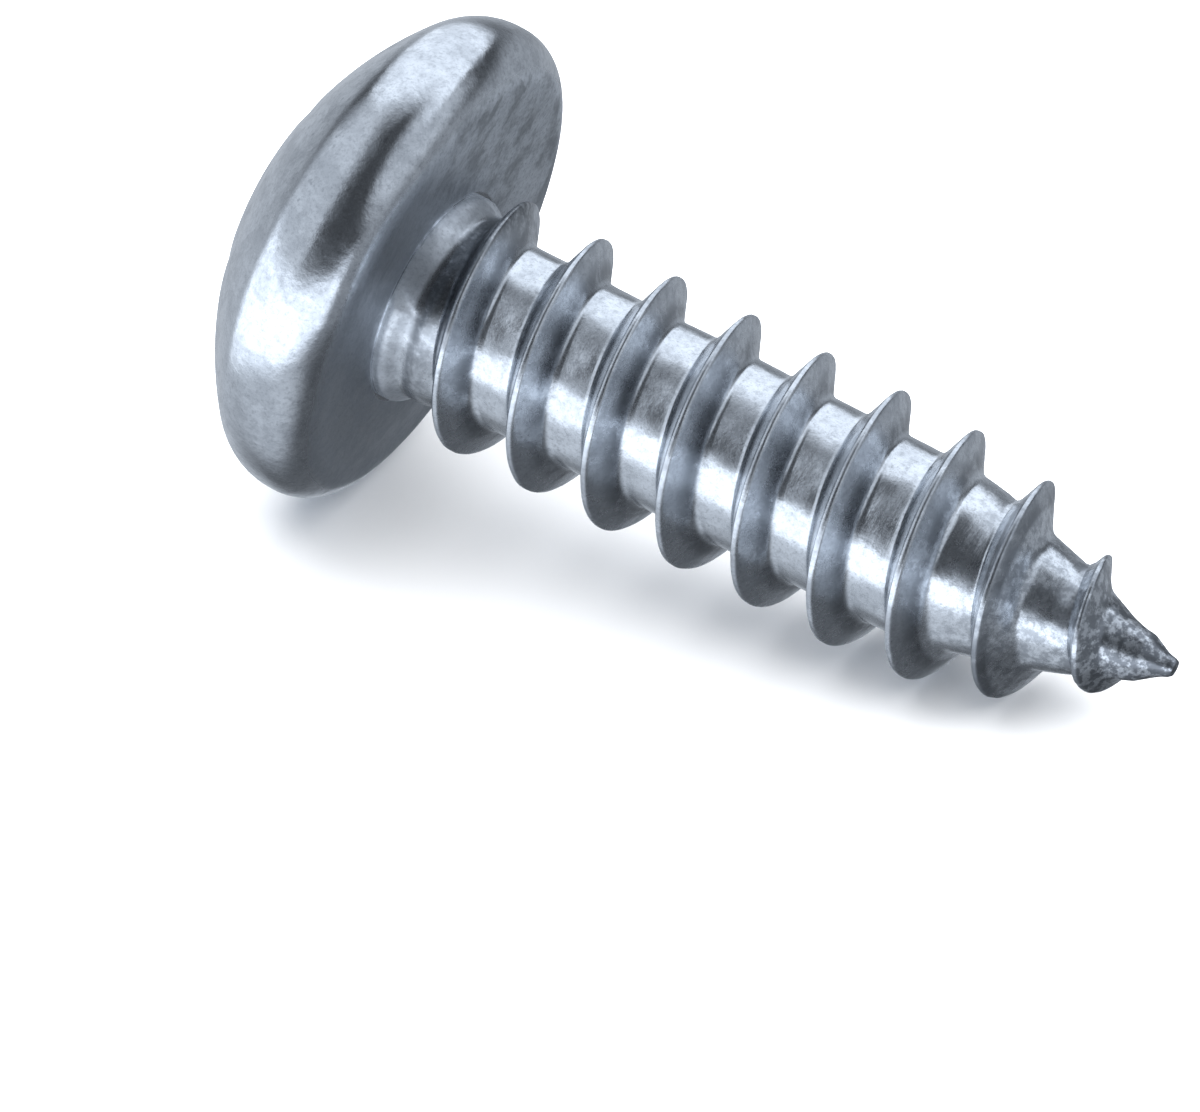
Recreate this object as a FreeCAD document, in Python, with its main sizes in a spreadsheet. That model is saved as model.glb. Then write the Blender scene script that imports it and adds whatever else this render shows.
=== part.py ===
import FreeCAD, Part
import math
import os
import Sketcher

# Pan head tapping screw with a cross recess and a gimlet point, in millimetres.
# The screw is drawn upright about the Z axis of its body, with the bearing face
# under its head at Z = 0, the head below it and the point above. It is then laid
# down the way it rests: on the rim of its head and the crest of its thread.

doc = FreeCAD.newDocument("tapping_screw")
V = FreeCAD.Vector

SIZES = {
    # Head
    "head_diameter": 7.65,
    "head_height": 2.9,
    "rim_height": 0.08,
    "shoulder_radius": 1.1,
    "edge_radius": 0.67,
    "neck_fillet": 0.55,
    # Shank and point
    "core_diameter": 2.65,
    "screw_length": 12.5,
    "point_length": 3.8,
    "tip_length": 0.85,
    "tip_base_diameter": 0.84,
    "tip_diameter": 0.16,
    # Thread
    "thread_diameter": 3.73,
    "thread_pitch": 1.3,
    "flank_angle": 60,
    "crest_width": 0.1,
    "foot_sink": 0.08,
    "thread_start": 0.9,
    "run_in_turns": 0.5,
    "run_out_turns": 1,
    "bare_tip": 0.55,
    # Cross recess
    "mouth_span": 5.05,
    "mouth_width": 1.1,
    "mouth_corner": 0.8,
    "floor_span": 2.6,
    "floor_width": 0.86,
    "floor_corner": 0.45,
    "wing_depth": 2.05,
    "recess_depth": 2.65,
    "recess_angle": 30,
    # How far the lying screw is turned about its own axis
    "roll_angle": 241.2,
}

sheet = doc.addObject("Spreadsheet::Sheet", "sizes")
for row, (alias, value) in enumerate(SIZES.items(), start=1):
    sheet.set(f"A{row}", alias)
    sheet.set(f"B{row}", str(value))
    sheet.setAlias(f"B{row}", alias)
doc.recompute()

body = doc.addObject("PartDesign::Body", "screw")
body.Label = "screw"


def size(alias):
    return float(getattr(sheet, alias))


def new_sketch(name, role):
    sketch = body.newObject("Sketcher::SketchObject", name)
    plane = next(f for f in body.Origin.OriginFeatures if f.Role == role)
    sketch.AttachmentSupport = [(plane, "")]
    sketch.MapMode = "FlatFace"
    return sketch


def drive(sketch, name, kind, places, value, formula):
    """A dimension that starts at value and is then bound to the sheet by its formula."""
    index = sketch.addConstraint(Sketcher.Constraint(kind, *places, value))
    sketch.renameConstraint(index, name)
    sketch.setExpression(f"Constraints.{name}", formula)


# Sketcher's own names for the places on a line or an arc, and for its axes
START, END, CENTRE = 1, 2, 3
LEVEL_AXIS, UPRIGHT_AXIS = -1, -2
ORIGIN = (-1, 1)


def arc(centre, radius, start_deg, end_deg):
    circle = Part.Circle(centre, V(0, 0, 1), radius)
    return Part.ArcOfCircle(circle, math.radians(start_deg), math.radians(end_deg))


def blank_outline():
    """Half the section of the headed and pointed wire, before its thread is rolled."""
    head_r = size("head_diameter") / 2
    head_h = size("head_height")
    shoulder_r = size("shoulder_radius")
    edge_r = size("edge_radius")
    neck_r = size("neck_fillet")
    core_r = size("core_diameter") / 2
    length = size("screw_length")
    point_z = length - size("point_length")
    tip_z = length - size("tip_length")
    shoulder = V(head_r - shoulder_r, -edge_r - size("rim_height"), 0)
    # the crown is the arc about the axis that touches the shoulder's arc from outside
    rise = head_h + shoulder.y
    crown_r = (shoulder.x**2 + rise**2 - shoulder_r**2) / (2 * (rise - shoulder_r))
    crown = V(0, crown_r - head_h, 0)
    meet_deg = math.degrees(math.atan2(shoulder.y - crown.y, shoulder.x))

    sketch = new_sketch("blank_outline", "XZ_Plane")
    core_bottom = V(core_r, neck_r, 0)
    core_top = V(core_r, point_z, 0)
    tip_base = V(size("tip_base_diameter") / 2, tip_z, 0)
    tip_edge = V(size("tip_diameter") / 2, length, 0)
    tip = V(0, length, 0)
    pieces = [
        arc(crown, crown_r, -90, meet_deg),
        arc(shoulder, shoulder_r, meet_deg, 0),
        Part.LineSegment(V(head_r, shoulder.y, 0), V(head_r, -edge_r, 0)),
        arc(V(head_r - edge_r, -edge_r, 0), edge_r, 0, 90),
        Part.LineSegment(V(head_r - edge_r, 0, 0), V(core_r + neck_r, 0, 0)),
        arc(V(core_r + neck_r, neck_r, 0), neck_r, 180, 270),
        Part.LineSegment(core_bottom, core_top),
        Part.LineSegment(core_top, tip_base),
        Part.LineSegment(tip_base, tip_edge),
        Part.LineSegment(tip_edge, tip),
        Part.LineSegment(tip, V(0, -head_h, 0)),
    ]
    (crown_arc, shoulder_arc, rim, edge_arc, face, neck_arc, core, taper, cone, end, axis) = (
        sketch.addGeometry(piece, False) for piece in pieces
    )
    for constraint in (
        ("Tangent", crown_arc, END, shoulder_arc, START),
        ("Tangent", shoulder_arc, END, rim, START),
        ("Tangent", rim, END, edge_arc, START),
        ("Tangent", edge_arc, END, face, START),
        ("Tangent", face, END, neck_arc, END),
        ("Tangent", neck_arc, START, core, START),
        ("Coincident", core, END, taper, START),
        ("Coincident", taper, END, cone, START),
        ("Coincident", cone, END, end, START),
        ("Coincident", end, END, axis, START),
        ("Coincident", axis, END, crown_arc, START),
        ("PointOnObject", crown_arc, CENTRE, UPRIGHT_AXIS),
        ("PointOnObject", axis, START, UPRIGHT_AXIS),
        ("PointOnObject", axis, END, UPRIGHT_AXIS),
        ("PointOnObject", face, START, LEVEL_AXIS),
        ("Vertical", rim),
        ("Horizontal", face),
        ("Vertical", core),
        ("Horizontal", end),
    ):
        sketch.addConstraint(Sketcher.Constraint(*constraint))
    drive(sketch, "head_height", "DistanceY", (crown_arc, START, *ORIGIN), head_h, "sizes.head_height")
    drive(sketch, "head_radius", "DistanceX", (*ORIGIN, rim, START), head_r, "sizes.head_diameter / 2")
    drive(sketch, "rim", "DistanceY", (rim, START, rim, END), size("rim_height"), "sizes.rim_height")
    drive(sketch, "shoulder", "Radius", (shoulder_arc,), shoulder_r, "sizes.shoulder_radius")
    drive(sketch, "edge", "Radius", (edge_arc,), edge_r, "sizes.edge_radius")
    drive(sketch, "neck", "Radius", (neck_arc,), neck_r, "sizes.neck_fillet")
    drive(sketch, "core_radius", "DistanceX", (*ORIGIN, core, START), core_r, "sizes.core_diameter / 2")
    drive(sketch, "point_start", "DistanceY", (*ORIGIN, core, END), point_z,
          "sizes.screw_length - sizes.point_length")
    drive(sketch, "tip_base", "DistanceX", (*ORIGIN, taper, END), tip_base.x, "sizes.tip_base_diameter / 2")
    drive(sketch, "tip_start", "DistanceY", (*ORIGIN, taper, END), tip_z,
          "sizes.screw_length - sizes.tip_length")
    drive(sketch, "tip_radius", "DistanceX", (*ORIGIN, cone, END), tip_edge.x, "sizes.tip_diameter / 2")
    drive(sketch, "length", "DistanceY", (*ORIGIN, cone, END), length, "sizes.screw_length")
    return sketch


outline = blank_outline()
blank = body.newObject("PartDesign::Revolution", "blank")
blank.Profile = outline
blank.ReferenceAxis = (outline, ["V_Axis"])
blank.Angle = 360

# Formulas that several features share. The thread's foot is sunk a little into the core,
# so that the two join.
POINT_START = "(sizes.screw_length - sizes.point_length)"
CREST_RADIUS = "(sizes.thread_diameter / 2)"
THREAD_HEIGHT = "((sizes.thread_diameter - sizes.core_diameter) / 2)"
THREAD_DEPTH = f"({THREAD_HEIGHT} + sizes.foot_sink)"
POINT_SLOPE = (
    "((sizes.core_diameter - sizes.tip_base_diameter) / 2"
    " / (sizes.point_length - sizes.tip_length))"
)


def tooth_sketch(name, height, crest_radius, depth):
    """The thread's section in an axial plane, at the place on its helix for a height.

    The height of its middle, the radius of its crest and its depth are formulas.
    """
    crest_r = size("thread_diameter") / 2
    foot_r = size("core_diameter") / 2 - size("foot_sink")
    half_crest = size("crest_width") / 2
    half_foot = half_crest + (crest_r - foot_r) * math.tan(math.radians(size("flank_angle") / 2))
    middle = size("thread_start")
    corners = [
        V(foot_r, middle - half_foot, 0),
        V(crest_r, middle - half_crest, 0),
        V(crest_r, middle + half_crest, 0),
        V(foot_r, middle + half_foot, 0),
    ]
    sketch = new_sketch(name, "XZ_Plane")
    # the sketch's own Y is the screw's axis, and its turn about it follows the helix
    sketch.AttachmentOffset = FreeCAD.Placement(V(0, 0, 0), FreeCAD.Rotation(V(0, 1, 0), 1))
    sketch.setExpression(
        "AttachmentOffset.Rotation.Angle",
        f"mod(({height} - sizes.thread_start) / sizes.thread_pitch; 1) * 360",
    )
    lower_flank, crest, upper_flank, foot = (
        sketch.addGeometry(Part.LineSegment(corners[i], corners[(i + 1) % 4]), False)
        for i in range(4)
    )
    for constraint in (
        ("Coincident", lower_flank, END, crest, START),
        ("Coincident", crest, END, upper_flank, START),
        ("Coincident", upper_flank, END, foot, START),
        ("Coincident", foot, END, lower_flank, START),
        ("Vertical", crest),
        ("Vertical", foot),
        ("Equal", lower_flank, upper_flank),
    ):
        sketch.addConstraint(Sketcher.Constraint(*constraint))
    drive(sketch, "crest_radius", "DistanceX", (*ORIGIN, crest, START), crest_r, crest_radius)
    drive(sketch, "depth", "DistanceX", (foot, END, crest, START), crest_r - foot_r, depth)
    drive(sketch, "crest", "DistanceY", (crest, START, crest, END), 2 * half_crest, "sizes.crest_width")
    drive(sketch, "foot", "DistanceY", (foot, END, foot, START), 2 * half_foot,
          f"sizes.crest_width + 2 * {depth} * tan(sizes.flank_angle / 2)")
    drive(sketch, "height", "DistanceY", (*ORIGIN, crest, START), middle - half_crest,
          f"{height} - sizes.crest_width / 2")
    return sketch


def rolled_thread(name, start, end):
    """A stretch of full thread between two heights on the straight shank."""
    section = tooth_sketch(f"{name}_section", start, CREST_RADIUS, THREAD_DEPTH)
    stretch = body.newObject("PartDesign::AdditiveHelix", name)
    stretch.Profile = section
    stretch.ReferenceAxis = (section, ["V_Axis"])
    stretch.Mode = "pitch-height-angle"
    stretch.setExpression("Pitch", "sizes.thread_pitch")
    stretch.setExpression("Height", f"{end} - {start}")
    doc.recompute()


# Where the thread grows out of the core, narrows or dies away, it is a loft through
# sections that stand at equal steps round the axis.
SECTIONS_PER_TURN = 8


def lofted_thread(name, start, end, sunk):
    """A stretch of thread between two heights, which narrows where the point does.

    The share of its depth that is sunk in the core is a function of how far along it is.
    """
    turns = sheet.evalExpression(f"({end} - {start}) / sizes.thread_pitch")
    steps = round(turns * SECTIONS_PER_TURN)
    sections = []
    for step in range(steps + 1):
        along = step / steps
        height = f"({start} + ({end} - {start}) * {along})"
        narrowed = f"{POINT_SLOPE} * max(0; {height} - {POINT_START})"
        crest = f"({CREST_RADIUS} - {narrowed} - {THREAD_DEPTH} * {sunk(along)})"
        depth = f"({THREAD_DEPTH} - {THREAD_HEIGHT} * {sunk(along)})"
        sections.append(tooth_sketch(f"{name}_section_{step}", height, crest, depth))
    stretch = body.newObject("PartDesign::AdditiveLoft", name)
    stretch.Profile = sections[0]
    stretch.Sections = [(section, [""]) for section in sections[1:]]
    doc.recompute()


# The full thread ends half a turn before the point, and the rest ends short of the tip
FULL_THREAD_END = f"({POINT_START} - sizes.thread_pitch / 2)"
RUN_IN_START = "(sizes.thread_start - sizes.run_in_turns * sizes.thread_pitch)"
RUN_OUT_END = "(sizes.screw_length - sizes.bare_tip)"
RUN_OUT_START = f"({RUN_OUT_END} - sizes.run_out_turns * sizes.thread_pitch)"
rolled_thread("full_thread", "sizes.thread_start", FULL_THREAD_END)
lofted_thread("run_in", RUN_IN_START, "sizes.thread_start", lambda along: 1 - along)
lofted_thread("point_thread", FULL_THREAD_END, RUN_OUT_START, lambda along: 0)
lofted_thread("run_out", RUN_OUT_START, RUN_OUT_END, lambda along: along)


def cross_sketch(name, level, span, width, corner):
    """The cross of the recess at one level: four wings with rounded corners between them."""
    half_span = size(span) / 2
    half_width = size(width) / 2
    corner_r = size(corner)
    inner = half_width + corner_r
    sketch = new_sketch(name, "XY_Plane")
    sketch.setExpression("AttachmentOffset.Base.z", level)
    sketch.setExpression("AttachmentOffset.Rotation.Angle", "sizes.recess_angle")
    ends, sides, corners = [], [], []
    for quarter in range(4):
        turn = FreeCAD.Rotation(V(0, 0, 1), 90 * quarter)
        points = [
            turn.multVec(V(x, y, 0))
            for x, y in (
                (half_span, -half_width),
                (half_span, half_width),
                (inner, half_width),
                (half_width, inner),
                (half_width, half_span),
            )
        ]
        ends.append(sketch.addGeometry(Part.LineSegment(points[0], points[1]), False))
        sides.append(sketch.addGeometry(Part.LineSegment(points[1], points[2]), False))
        centre = turn.multVec(V(inner, inner, 0))
        corners.append(
            sketch.addGeometry(arc(centre, corner_r, 180 + 90 * quarter, 270 + 90 * quarter), False)
        )
        sides.append(sketch.addGeometry(Part.LineSegment(points[3], points[4]), False))
    for quarter in range(4):
        leaving, arriving = sides[2 * quarter], sides[2 * quarter + 1]
        along_x = quarter % 2 == 0
        for constraint in (
            ("Coincident", ends[quarter], END, leaving, START),
            ("Tangent", leaving, END, corners[quarter], END),
            ("Tangent", corners[quarter], START, arriving, START),
            ("Coincident", arriving, END, ends[(quarter + 1) % 4], START),
            ("Horizontal" if along_x else "Vertical", leaving),
            ("Vertical" if along_x else "Horizontal", arriving),
            ("Symmetric", ends[quarter], START, ends[quarter], END,
             LEVEL_AXIS if along_x else UPRIGHT_AXIS),
        ):
            sketch.addConstraint(Sketcher.Constraint(*constraint))
        if quarter:
            sketch.addConstraint(Sketcher.Constraint("Equal", ends[0], ends[quarter]))
            sketch.addConstraint(Sketcher.Constraint("Equal", corners[0], corners[quarter]))
        reach = (*ORIGIN, ends[quarter], START) if quarter < 2 else (ends[quarter], START, *ORIGIN)
        drive(sketch, f"reach_{quarter}", "DistanceX" if along_x else "DistanceY", reach,
              half_span, f"sizes.{span} / 2")
    drive(sketch, "width", "DistanceY", (ends[0], START, ends[0], END), size(width), f"sizes.{width}")
    drive(sketch, "corner", "Radius", (corners[0],), corner_r, f"sizes.{corner}")
    return sketch


mouth = cross_sketch("recess_mouth", "-sizes.head_height", "mouth_span", "mouth_width", "mouth_corner")
floor = cross_sketch("recess_floor", "sizes.wing_depth - sizes.head_height", "floor_span",
                     "floor_width", "floor_corner")
wings = body.newObject("PartDesign::SubtractiveLoft", "recess_wings")
wings.Profile = mouth
wings.Sections = [(floor, [""])]
wings.Ruled = True
doc.recompute()
lowest = new_sketch("recess_lowest", "XY_Plane")
lowest.setExpression("AttachmentOffset.Base.z", "sizes.recess_depth - sizes.head_height")
lowest.addGeometry(Part.Point(V(0, 0, 0)), False)
lowest.addConstraint(Sketcher.Constraint("Coincident", 0, START, *ORIGIN))
bottom = body.newObject("PartDesign::SubtractiveLoft", "recess_bottom")
bottom.Profile = floor
bottom.Sections = [(lowest, ["Vertex1"])]
bottom.Ruled = True
doc.recompute()


CREST_POINTS_PER_TURN = 360
LEAN_HALVINGS = 50


def resting_lean(roll):
    """How far the tip dips, in radians, when rim and thread both touch the ground.

    Also gives the height of the bearing face's centre above the ground.
    """
    head_r = size("head_diameter") / 2
    edge_r = size("edge_radius")
    crest_r = size("thread_diameter") / 2
    start = size("thread_start")
    pitch = size("thread_pitch")
    point_z = size("screw_length") - size("point_length")
    core_narrows = (size("core_diameter") - size("tip_base_diameter")) / 2
    slope = core_narrows / (size("point_length") - size("tip_length"))
    turns = (point_z + pitch - start) / pitch
    crest = []
    for step in range(int(turns * CREST_POINTS_PER_TURN)):
        turn = step / CREST_POINTS_PER_TURN
        height = start + pitch * turn
        radius = crest_r - slope * max(0, height - point_z)
        down = radius * math.cos(math.radians(roll + 360 * turn))
        crest.append((down, height + size("crest_width") / 2))

    def gap(lean):
        rim = (head_r - edge_r) * math.cos(lean) - edge_r * math.sin(lean) + edge_r
        thread = max(down * math.cos(lean) + along * math.sin(lean) for down, along in crest)
        return rim - thread, rim

    low, high = 0, math.pi / 4
    for _ in range(LEAN_HALVINGS):
        lean = (low + high) / 2
        if gap(lean)[0] > 0:
            low = lean
        else:
            high = lean
    return lean, gap(lean)[1]


# Lying down: the point along +X, level ground at Z = 0, centred on the origin
lean, axis_height = resting_lean(size("roll_angle"))
laid = FreeCAD.Rotation(V(0, 1, 0), 90 + math.degrees(lean))
rolled = FreeCAD.Rotation(V(0, 0, 1), size("roll_angle"))
body.Placement = FreeCAD.Placement(V(0, 0, axis_height), laid * rolled)
doc.recompute()
box = body.Shape.optimalBoundingBox(False)
body.Placement.Base = body.Placement.Base - V(box.Center.x, box.Center.y, 0)
doc.recompute()

for item in doc.Objects:
    if {"Invalid", "Error"} & set(item.State):
        raise RuntimeError(f"{item.Name} failed: {item.State}")
if body.Shape.isNull() or not body.Shape.isValid() or len(body.Shape.Solids) != 1:
    raise RuntimeError("the screw isn't one valid solid")
print("lean", round(math.degrees(lean), 3), "volume", round(body.Shape.Volume, 2))
print("box", body.Shape.optimalBoundingBox(False))

os.makedirs("parts", exist_ok=True)
body.Shape.exportStep(f"parts/{body.Label}.step")
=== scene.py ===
# %% [markdown]
# # A pan head tapping screw, from its solid to a photograph
# This lesson dresses one small steel screw. Its exact solid comes from the imported frame and stays the
# measure of everything: how long it is, where its head is, how it lies. Here the same screw gets what a
# solid can't show, which is the soft roots and crests of a rolled thread, the bent end of its point, and
# the bright, slightly bluish skin of zinc. The frame is loaded first.

# %% Load the frame
import math
import bpy
from mathutils import Matrix, Vector, noise


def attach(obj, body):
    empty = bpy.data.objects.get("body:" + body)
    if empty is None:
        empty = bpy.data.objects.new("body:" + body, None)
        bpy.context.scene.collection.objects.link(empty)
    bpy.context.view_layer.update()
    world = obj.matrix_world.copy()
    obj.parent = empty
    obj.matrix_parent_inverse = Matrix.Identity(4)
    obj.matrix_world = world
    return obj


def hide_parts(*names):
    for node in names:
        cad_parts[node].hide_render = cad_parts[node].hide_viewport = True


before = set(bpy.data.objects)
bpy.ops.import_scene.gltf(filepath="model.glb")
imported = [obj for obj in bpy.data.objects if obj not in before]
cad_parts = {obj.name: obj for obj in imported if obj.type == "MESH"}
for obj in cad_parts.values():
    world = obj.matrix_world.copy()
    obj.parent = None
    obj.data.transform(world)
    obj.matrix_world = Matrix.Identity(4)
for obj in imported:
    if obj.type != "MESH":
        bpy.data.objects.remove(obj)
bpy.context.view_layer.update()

# %% [markdown]
# ## Where the screw lies
# The solid was drawn upright, turned about its own axis, and leaned over until its head and its thread
# touched the ground. Those steps are written here as one matrix, so a mesh that is drawn upright in
# millimetres lands on the solid. A product of matrices works from the right: scale, turn, lean, move.

# %% The screw's place in the frame
MM = 0.001
LEAN = math.radians(12.073)
ROLL = math.radians(241.2)
FACE_CENTRE = Vector((-4.65929, 0, 3.615072)) * MM

lying = (
    Matrix.Translation(FACE_CENTRE)
    @ Matrix.Rotation(math.pi / 2 + LEAN, 4, "Y")
    @ Matrix.Rotation(ROLL, 4, "Z")
    @ Matrix.Scale(MM, 4)
)
point_way = Vector((math.cos(LEAN), 0, -math.sin(LEAN)))
print("the point faces", [round(c, 3) for c in point_way])

# %% [markdown]
# ## Which way the camera looks
# The photograph looks at the screw from above and from the side of its point. A camera could be pushed
# about until the picture looks right, but then nobody can say why it stands there. Here two angles say
# how the screw's axis runs in the picture, and the camera's direction follows from them: the axis is
# level but for its lean, so one elevation and one azimuth give that view.

# %% Directions of the picture
TOWARDS_VIEWER = math.radians(16.566)
DOWN_IN_PICTURE = math.radians(28.909)

across = math.cos(TOWARDS_VIEWER) * math.cos(DOWN_IN_PICTURE)
upward = -math.cos(TOWARDS_VIEWER) * math.sin(DOWN_IN_PICTURE)
nearer = math.sin(TOWARDS_VIEWER)
level_reach = math.sqrt(upward**2 + nearer**2 - math.sin(LEAN) ** 2)
elevation = math.atan2(-upward, nearer) - math.atan2(math.sin(LEAN), level_reach)
azimuth = math.asin(-across / math.cos(LEAN))
back = Vector(
    (math.cos(elevation) * math.cos(azimuth), math.cos(elevation) * math.sin(azimuth), math.sin(elevation))
)
right = Vector((-math.sin(azimuth), math.cos(azimuth), 0))
up = back.cross(right)
print("camera elevation", round(math.degrees(elevation), 2), "azimuth", round(math.degrees(azimuth), 2))

# %% [markdown]
# ## The camera
# A small thing is photographed through a long lens from close by, which keeps its lines nearly parallel.
# The camera is set before any shape, because every later choice is judged through it. It aims beside the
# screw: the face under the head has its own place in the picture, and the camera is moved sideways and up
# until it lands there.

# %% Camera
PICTURE_WIDTH, PICTURE_HEIGHT = 1200, 1112
PIXELS_PER_MM = 68.725
FACE_PIXEL = (438.1, 287.36)
DISTANCE = 152.04 * MM
SENSOR, LENS = 36, 313.46
NEAREST, FARTHEST = 0.01, 10

camera_data = bpy.data.cameras.new("camera")
camera_data.sensor_width = SENSOR
camera_data.lens = LENS
camera_data.clip_start, camera_data.clip_end = NEAREST, FARTHEST
camera = bpy.data.objects.new("camera", camera_data)
bpy.context.scene.collection.objects.link(camera)
shift_across = (FACE_PIXEL[0] - PICTURE_WIDTH / 2) / PIXELS_PER_MM * MM
shift_up = (PICTURE_HEIGHT / 2 - FACE_PIXEL[1]) / PIXELS_PER_MM * MM
camera.location = FACE_CENTRE - right * shift_across - up * shift_up + back * DISTANCE
camera.rotation_mode = "QUATERNION"
camera.rotation_quaternion = back.to_track_quat("Z", "Y")
bpy.context.scene.camera = camera
print("camera at, mm:", [round(c / MM, 1) for c in camera.location])

# %% [markdown]
# ## Small helpers
# The screw is modelled standing on its head, in millimetres, with the face under the head at height zero
# and the point upwards. An operator works on all that is selected, and the frame's own solid is selected
# after loading, so every step begins by letting go of everything. A line is drawn as by hand: one corner,
# then extruded from place to place. `on_arc` gives the places along a rounding.

# %% Helpers
def let_go():
    """Leaves edit mode and deselects everything."""
    if bpy.context.object and bpy.context.object.mode != "OBJECT":
        bpy.ops.object.mode_set(mode="OBJECT")
    bpy.ops.object.select_all(action="DESELECT")


def drawn_line(name, places):
    """A line of edges through places, each extruded from the one before."""
    let_go()
    bpy.ops.mesh.primitive_plane_add(size=0.1, location=places[0])
    line = bpy.context.object
    line.name = name
    bpy.ops.object.transform_apply(location=True)
    bpy.ops.object.mode_set(mode="EDIT")
    bpy.ops.mesh.merge(type="CENTER")
    for here, there in zip(places, places[1:]):
        step = Vector(there) - Vector(here)
        bpy.ops.mesh.extrude_region_move(TRANSFORM_OT_translate={"value": step})
    bpy.ops.object.mode_set(mode="OBJECT")
    return line


def on_arc(centre_r, centre_z, radius, start, end, pieces):
    """Places on an arc in the plane of the axis, between two angles in degrees."""
    angles = (math.radians(start + (end - start) * i / pieces) for i in range(pieces + 1))
    return [(centre_r + radius * math.cos(a), 0, centre_z + radius * math.sin(a)) for a in angles]


# %% [markdown]
# ## Half of the head
# A pan head is forged between round dies: a shallow crown, a full shoulder, a small lower edge, and the
# flat face that clamps the sheet. A squashed sphere would come near, but its shoulder would be wrong. Half
# of the real section is drawn instead, as arcs that touch each other without a kink. It stops just inside
# the fillet under the head, where the shank will be joined on.

# %% Draw half of the head
HEAD_RADIUS, HEAD_HEIGHT = 3.825, 2.9
SHOULDER_RADIUS, RIM_HEIGHT, EDGE_RADIUS = 1.1, 0.08, 0.67
BEAD_RADIUS, JOIN_HEIGHT = 1.63, 0.04
CROWN_PIECES, SHOULDER_PIECES, EDGE_PIECES, FACE_PIECES = 26, 16, 14, 10

shoulder_r, shoulder_z = HEAD_RADIUS - SHOULDER_RADIUS, -EDGE_RADIUS - RIM_HEIGHT
rise = HEAD_HEIGHT + shoulder_z
crown_radius = (shoulder_r**2 + rise**2 - SHOULDER_RADIUS**2) / (2 * (rise - SHOULDER_RADIUS))
crown_z = crown_radius - HEAD_HEIGHT
meet = math.degrees(math.atan2(shoulder_z - crown_z, shoulder_r))
face_outer = HEAD_RADIUS - EDGE_RADIUS
face_step = (BEAD_RADIUS - face_outer) / FACE_PIECES

section = on_arc(0, crown_z, crown_radius, -90, meet, CROWN_PIECES)
section += on_arc(shoulder_r, shoulder_z, SHOULDER_RADIUS, meet, 0, SHOULDER_PIECES)[1:]
section += on_arc(face_outer, -EDGE_RADIUS, EDGE_RADIUS, 0, 90, EDGE_PIECES)
section += [(face_outer + face_step * i, 0, 0) for i in range(1, FACE_PIECES + 1)]
section += [(BEAD_RADIUS, 0, JOIN_HEIGHT)]
head = drawn_line("head", section)
print("half section:", len(section), "places, crown radius", round(crown_radius, 2))

# %% [markdown]
# ## Spin the head
# A round part is best spun from its section: every ring of corners is then a true circle, and the strips
# between them run round the head like the marks of a tool. The last step of the spin falls on the first,
# so the doubled corners are merged, and the faces are turned to look outwards.

# %% Spin
STEPS_ROUND = 128
SAME_PLACE = 1e-4

bpy.ops.object.mode_set(mode="EDIT")
bpy.ops.mesh.select_all(action="SELECT")
bpy.ops.mesh.spin(steps=STEPS_ROUND, angle=2 * math.pi, center=(0, 0, 0), axis=(0, 0, 1))
bpy.ops.mesh.select_all(action="SELECT")
bpy.ops.mesh.remove_doubles(threshold=SAME_PLACE)
bpy.ops.mesh.normals_make_consistent(inside=False)
bpy.ops.object.mode_set(mode="OBJECT")
print("head:", len(head.data.vertices), "corners")

# %% [markdown]
# ## One pitch of thread, wound up the shank
# The thread is rolled, not cut: a ridge with soft feet between wide, smooth roots. Its section over one
# pitch is a short line, with more corners where the flank turns. The Screw modifier winds that line round
# the axis while it rises one pitch a turn, so the rows of faces run along the crest and keep it sharp.
# Rings of corners, as a cylinder has, would cross the crest at an angle and make it ragged.

# %% Wind the thread
CORE_RADIUS, CREST_RADIUS, PITCH, HALF_CREST = 1.33, 1.875, 1.267, 0.04
FLANK_ANGLE = 26.5
FLANK = math.tan(math.radians(FLANK_ANGLE))
TOOTH = CREST_RADIUS - CORE_RADIUS
THREAD_START, TURNS, TURNS_BEFORE = 1.08, 11, 1.5
ROWS = (
    0, 0.02, 0.035, 0.05, 0.065, 0.085, 0.13, 0.19, 0.24, 0.275, 0.305, 0.335, 0.37, 0.41, 0.47, 0.55,
    PITCH / 2,
)


def tooth_radius(offset):
    """The thread's section: how far from the axis it is at an offset along it from the crest."""
    flank = TOOTH + (HALF_CREST - abs(offset)) / FLANK
    return CORE_RADIUS + max(0, min(TOOTH, flank))


winding_start = THREAD_START - TURNS_BEFORE * PITCH
offsets = [-row for row in reversed(ROWS)] + list(ROWS[1:])
pitch_line = [(tooth_radius(o), 0, winding_start + PITCH / 2 + o) for o in offsets]
shank = drawn_line("shank", pitch_line)
winding = shank.modifiers.new("winding", "SCREW")
winding.angle = 2 * math.pi
winding.screw_offset = PITCH
winding.iterations = TURNS
winding.steps = winding.render_steps = STEPS_ROUND
winding.use_merge_vertices = False
bpy.ops.object.modifier_apply(modifier="winding")
bpy.ops.object.mode_set(mode="EDIT")
bpy.ops.mesh.select_all(action="SELECT")
bpy.ops.mesh.remove_doubles(threshold=SAME_PLACE)
bpy.ops.object.mode_set(mode="OBJECT")
wound_top = max(v.co.z for v in shank.data.vertices)
print("wound:", len(shank.data.vertices), "corners, up to", round(wound_top, 2))

# %% [markdown]
# ## The wire under the thread
# Before its thread is rolled, the screw is a wire with a swollen bead under the head, a plain neck, a
# straight core and a taper. The bead and the neck are short formulas. The taper follows a few measured
# heights and radii, joined by straight lines, because a gimlet point is neither a cone nor an arc.

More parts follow.
